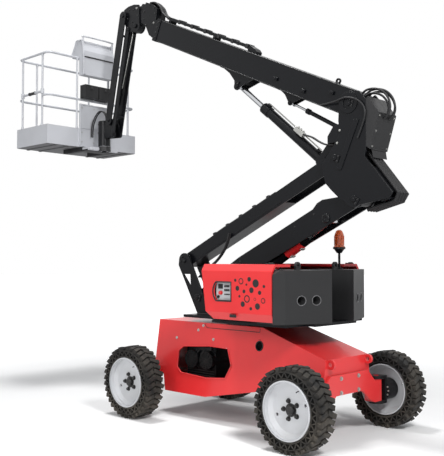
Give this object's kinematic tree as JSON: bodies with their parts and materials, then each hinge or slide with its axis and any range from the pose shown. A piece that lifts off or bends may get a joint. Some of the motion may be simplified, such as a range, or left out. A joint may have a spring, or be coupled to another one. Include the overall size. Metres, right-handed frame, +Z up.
{
  "type": "articulating boom lift",
  "caption": "Wheeled access platform: slewing turret, parallelogram riser, telescopic boom and a levelled jib that lift a railed work platform.",
  "frame": {"origin": "on the ground under the middle of the bounding box", "axes": "+X towards the platform, +Y to the left, +Z up"},
  "size_m": [5.2716, 1.736, 4.7908],
  "materials": {
    "red_paint": "gloss paint",
    "black_paint": "gloss paint",
    "grey_paint": "satin paint",
    "disc_paint": "satin paint",
    "pale_paint": "satin paint",
    "tyre_rubber": "matte rubber",
    "hose_rubber": "satin rubber",
    "chrome_rod": "polished",
    "orange_lens": "clear tinted"
  },
  "bodies": {
    "chassis": {"chassis_frame": "red_paint", "power_unit": "black_paint", "front_axle": "red_paint", "rear_axle": "red_paint", "slewing_ring": "grey_paint"},
    "turret": {"turret_frame": "black_paint", "counterweight_left": "grey_paint", "counterweight_right": "grey_paint", "tank_left": "black_paint", "tank_right": "black_paint", "ground_controls": "grey_paint", "beacon_post": "black_paint", "beacon_lens": "orange_lens"},
    "cover_left": {"cover_left": "red_paint"},
    "cover_right": {"cover_right": "red_paint"},
    "lower_arm": {"lower_arm": "black_paint"},
    "upper_arm": {"upper_arm": "black_paint"},
    "riser_link": {"riser_link": "black_paint", "link_hood": "grey_paint", "tail_hoses": "hose_rubber"},
    "riser_barrel": {"riser_barrel": "black_paint"},
    "riser_rod": {"riser_rod": "chrome_rod"},
    "boom_outer": {"boom_outer": "black_paint", "hose_carrier": "black_paint"},
    "boom_inner": {"boom_inner": "black_paint"},
    "lift_barrel": {"lift_barrel": "black_paint"},
    "lift_rod": {"lift_rod": "chrome_rod"},
    "level_barrel": {"level_barrel": "black_paint"},
    "level_rod": {"level_rod": "chrome_rod"},
    "jib_head": {"jib_head": "black_paint"},
    "jib_upper_bar": {"jib_upper_bar": "black_paint"},
    "jib_lower_bar": {"jib_lower_bar": "black_paint"},
    "jib_barrel": {"jib_barrel": "black_paint"},
    "jib_rod": {"jib_rod": "chrome_rod"},
    "jib_bracket": {"jib_bracket": "black_paint"},
    "platform": {"platform_base": "pale_paint", "platform_rails": "pale_paint", "platform_apron": "pale_paint", "platform_console": "pale_paint", "platform_boxes": "hose_rubber"},
    "entry_bar": {"entry_bar": "pale_paint"},
    "knuckle_front_left": {"knuckle_front_left": "black_paint"},
    "wheel_front_left": {"wheel_front_left": "disc_paint", "tyre_front_left": "tyre_rubber"},
    "knuckle_front_right": {"knuckle_front_right": "black_paint"},
    "wheel_front_right": {"wheel_front_right": "disc_paint", "tyre_front_right": "tyre_rubber"},
    "knuckle_rear_left": {"knuckle_rear_left": "black_paint"},
    "wheel_rear_left": {"wheel_rear_left": "disc_paint", "tyre_rear_left": "tyre_rubber"},
    "knuckle_rear_right": {"knuckle_rear_right": "black_paint"},
    "wheel_rear_right": {"wheel_rear_right": "disc_paint", "tyre_rear_right": "tyre_rubber"}
  },
  "joints": [
    {"name": "slew", "type": "hinge", "parent": "chassis", "child": "turret", "pos_m": [-0.9022, 0, 1.05], "axis": [0, 0, 1], "range_deg": [-177.5, 177.5]},
    {"name": "steer_front_left", "type": "hinge", "parent": "chassis", "child": "knuckle_front_left", "pos_m": [0.1818, 0.53499, 0.375], "axis": [0, 0, 1], "range_deg": [-32, 32]},
    {"name": "roll_front_left", "type": "hinge", "parent": "knuckle_front_left", "child": "wheel_front_left", "pos_m": [0.1818, 0.755, 0.375], "axis": [0, 1, 0], "continuous": true},
    {"name": "steer_front_right", "type": "hinge", "parent": "chassis", "child": "knuckle_front_right", "pos_m": [0.1818, -0.53499, 0.375], "axis": [0, 0, 1], "range_deg": [-32, 32]},
    {"name": "roll_front_right", "type": "hinge", "parent": "knuckle_front_right", "child": "wheel_front_right", "pos_m": [0.1818, -0.755, 0.375], "axis": [0, 1, 0], "continuous": true},
    {"name": "steer_rear_left", "type": "hinge", "parent": "chassis", "child": "knuckle_rear_left", "pos_m": [-1.9862, 0.53499, 0.375], "axis": [0, 0, 1], "range_deg": [-32, 32]},
    {"name": "roll_rear_left", "type": "hinge", "parent": "knuckle_rear_left", "child": "wheel_rear_left", "pos_m": [-1.9862, 0.755, 0.375], "axis": [0, 1, 0], "continuous": true},
    {"name": "steer_rear_right", "type": "hinge", "parent": "chassis", "child": "knuckle_rear_right", "pos_m": [-1.9862, -0.53499, 0.375], "axis": [0, 0, 1], "range_deg": [-32, 32]},
    {"name": "roll_rear_right", "type": "hinge", "parent": "knuckle_rear_right", "child": "wheel_rear_right", "pos_m": [-1.9862, -0.755, 0.375], "axis": [0, 1, 0], "continuous": true},
    {"name": "riser", "type": "hinge", "parent": "turret", "child": "lower_arm", "pos_m": [-0.1622, 0, 1.255], "axis": [0, 1, 0], "range_deg": [-26, 47]},
    {"name": "link_level", "type": "hinge", "parent": "lower_arm", "child": "riser_link", "pos_m": [-2.20168, 0, 2.21471], "axis": [0, 1, 0], "range_deg": [-47, 26]},
    {"name": "upper_arm_swing", "type": "hinge", "parent": "turret", "child": "upper_arm", "pos_m": [0.0478, 0, 1.652], "axis": [0, 1, 0], "range_deg": [-26, 47]},
    {"name": "riser_barrel_swing", "type": "hinge", "parent": "turret", "child": "riser_barrel", "pos_m": [-0.4522, 0, 1.22], "axis": [0, 1, 0], "range_deg": [-28.7, 51.8]},
    {"name": "riser_rod_stroke", "type": "slide", "parent": "riser_barrel", "child": "riser_rod", "axis": [-0.8602, 0, 0.5099], "range_m": [-0.09, 0.161]},
    {"name": "boom", "type": "hinge", "parent": "riser_link", "child": "boom_outer", "pos_m": [-2.15168, 0, 3.10271], "axis": [0, -1, 0], "range_deg": [-25, 47]},
    {"name": "telescope", "type": "slide", "parent": "boom_outer", "child": "boom_inner", "axis": [0.9078, 0, 0.4195], "range_m": [0, 1.4]},
    {"name": "lift_barrel_swing", "type": "hinge", "parent": "riser_link", "child": "lift_barrel", "pos_m": [-1.76168, 0, 2.60571], "axis": [0, -1, 0], "range_deg": [-22.9, 42.9]},
    {"name": "lift_rod_stroke", "type": "slide", "parent": "lift_barrel", "child": "lift_rod", "axis": [0.7677, 0, 0.6408], "range_m": [-0.281, 0.526]},
    {"name": "level_barrel_swing", "type": "hinge", "parent": "riser_link", "child": "level_barrel", "pos_m": [-1.93168, 0, 2.92271], "axis": [0, -1, 0], "range_deg": [-26.9, 50.4]},
    {"name": "level_rod_stroke", "type": "slide", "parent": "level_barrel", "child": "level_rod", "axis": [0.8734, 0, 0.487], "range_m": [-0.113, 0.211]},
    {"name": "jib_level", "type": "hinge", "parent": "boom_inner", "child": "jib_head", "pos_m": [1.02752, 0, 4.51883], "axis": [0, -1, 0], "range_deg": [-47, 25]},
    {"name": "jib", "type": "hinge", "parent": "jib_head", "child": "jib_upper_bar", "pos_m": [1.23551, 0, 4.67937], "axis": [0, -1, 0], "range_deg": [0, 125]},
    {"name": "jib_lower_swing", "type": "hinge", "parent": "jib_head", "child": "jib_lower_bar", "pos_m": [1.17052, 0, 4.50083], "axis": [0, -1, 0], "range_deg": [0, 125]},
    {"name": "bracket_level", "type": "hinge", "parent": "jib_upper_bar", "child": "jib_bracket", "pos_m": [1.51466, 0, 3.40969], "axis": [0, -1, 0], "range_deg": [-125, 0]},
    {"name": "jib_barrel_swing", "type": "hinge", "parent": "jib_head", "child": "jib_barrel", "pos_m": [1.17052, 0, 4.50083], "axis": [0, -1, 0], "range_deg": [-0.1, 125.1]},
    {"name": "jib_rod_stroke", "type": "slide", "parent": "jib_barrel", "child": "jib_rod", "axis": [0.3008, 0, -0.9537], "range_m": [-0.001, 0.361]},
    {"name": "platform_rotate", "type": "hinge", "parent": "jib_bracket", "child": "platform", "pos_m": [1.69968, 0, 3.08], "axis": [0, 0, 1], "range_deg": [-90, 90]},
    {"name": "entry_slide", "type": "slide", "parent": "platform", "child": "entry_bar", "axis": [0, 0, 1], "range_m": [0, 0.42]},
    {"name": "cover_left_hinge", "type": "hinge", "parent": "turret", "child": "cover_left", "pos_m": [-0.8822, 0.40502, 1.355], "axis": [0, 0, -1], "range_deg": [0, 90]},
    {"name": "cover_right_hinge", "type": "hinge", "parent": "turret", "child": "cover_right", "pos_m": [-0.8822, -0.40502, 1.355], "axis": [0, 0, 1], "range_deg": [0, 90]}
  ],
  "couplings": [
    {"joint": "steer_front_right", "follows": "steer_front_left", "ratio": 1},
    {"joint": "steer_rear_right", "follows": "steer_rear_left", "ratio": 1},
    {"joint": "link_level", "follows": "riser", "ratio": -1},
    {"joint": "upper_arm_swing", "follows": "riser", "ratio": 1},
    {"joint": "riser_barrel_swing", "follows": "riser", "ratio": 1.1},
    {"joint": "riser_rod_stroke", "follows": "riser", "m_per_rad": 0.195},
    {"joint": "lift_barrel_swing", "follows": "boom", "ratio": 0.91},
    {"joint": "lift_rod_stroke", "follows": "boom", "m_per_rad": 0.64},
    {"joint": "level_barrel_swing", "follows": "boom", "ratio": 1.07},
    {"joint": "level_rod_stroke", "follows": "boom", "m_per_rad": 0.255},
    {"joint": "jib_level", "follows": "boom", "ratio": -1},
    {"joint": "jib_lower_swing", "follows": "jib", "ratio": 1},
    {"joint": "bracket_level", "follows": "jib", "ratio": -1},
    {"joint": "jib_barrel_swing", "follows": "jib", "ratio": 1},
    {"joint": "jib_rod_stroke", "follows": "jib", "m_per_rad": 0.165}
  ]
}
